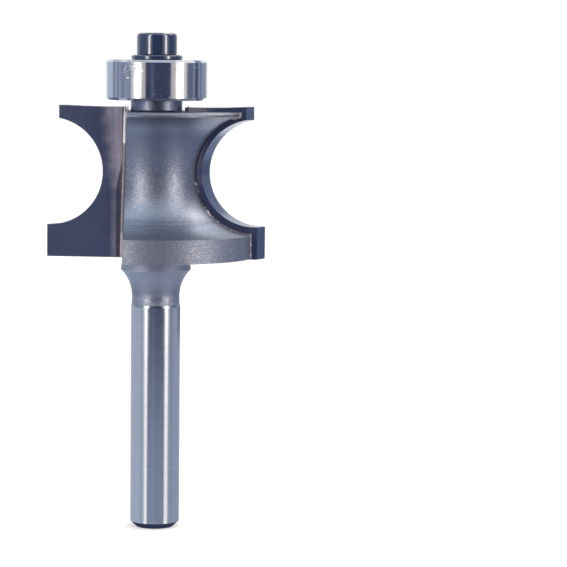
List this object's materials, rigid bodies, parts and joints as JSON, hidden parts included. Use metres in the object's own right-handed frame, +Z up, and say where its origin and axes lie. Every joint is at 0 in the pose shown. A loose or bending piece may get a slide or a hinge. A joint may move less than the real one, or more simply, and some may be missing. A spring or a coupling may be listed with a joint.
{
  "type": "router bit",
  "caption": "Bead-cutting router bit: blasted steel body on a plain round shank, brazed carbide tips of half-round profile, and a ball bearing guide held on its end by a socket screw.",
  "frame": {"origin": "centre of the shank's end face, at the bottom of the part", "axes": "+Z runs up the shank's axis to the guide bearing; X lies in the plane of the two tips, and the tip on the -X side cuts towards -Y"},
  "size_m": [0.0274, 0.0242, 0.0623],
  "materials": {
    "blasted_steel": "bead-blasted steel, with a ground shank",
    "carbide": "fine ground tungsten carbide",
    "braze": "silver braze, slightly uneven",
    "ground_ring": "ground and polished bearing steel",
    "ball_steel": "polished steel",
    "cage_strip": "pressed steel strip",
    "shield_sheet": "pressed steel sheet",
    "black_oxide": "black oxide on steel"
  },
  "bodies": {
    "cutter": {"cutter_body": "blasted_steel", "carbide_tip_1": "carbide", "carbide_tip_2": "carbide", "braze_layer_1": "braze", "braze_layer_2": "braze", "bearing_inner_ring": "ground_ring", "guide_washer": "black_oxide", "guide_screw": "black_oxide"},
    "outer_ring": {"bearing_outer_ring": "ground_ring", "shield_lower": "shield_sheet", "shield_upper": "shield_sheet"},
    "ball_set": {"ball_1": "ball_steel", "ball_2": "ball_steel", "ball_3": "ball_steel", "ball_4": "ball_steel", "ball_5": "ball_steel", "ball_6": "ball_steel", "ball_7": "ball_steel", "cage_lower_half": "cage_strip", "cage_upper_half": "cage_strip", "cage_rivets": "cage_strip"}
  },
  "joints": [
    {"name": "bearing_spin", "type": "hinge", "parent": "cutter", "child": "outer_ring", "pos_m": [0, 0, 0.05641], "axis": [0, 0, 1], "continuous": true},
    {"name": "ball_set_spin", "type": "hinge", "parent": "cutter", "child": "ball_set", "pos_m": [0, 0, 0.05641], "axis": [0, 0, 1], "continuous": true}
  ],
  "couplings": [
    {"joint": "ball_set_spin", "follows": "bearing_spin", "ratio": 0.63635}
  ]
}
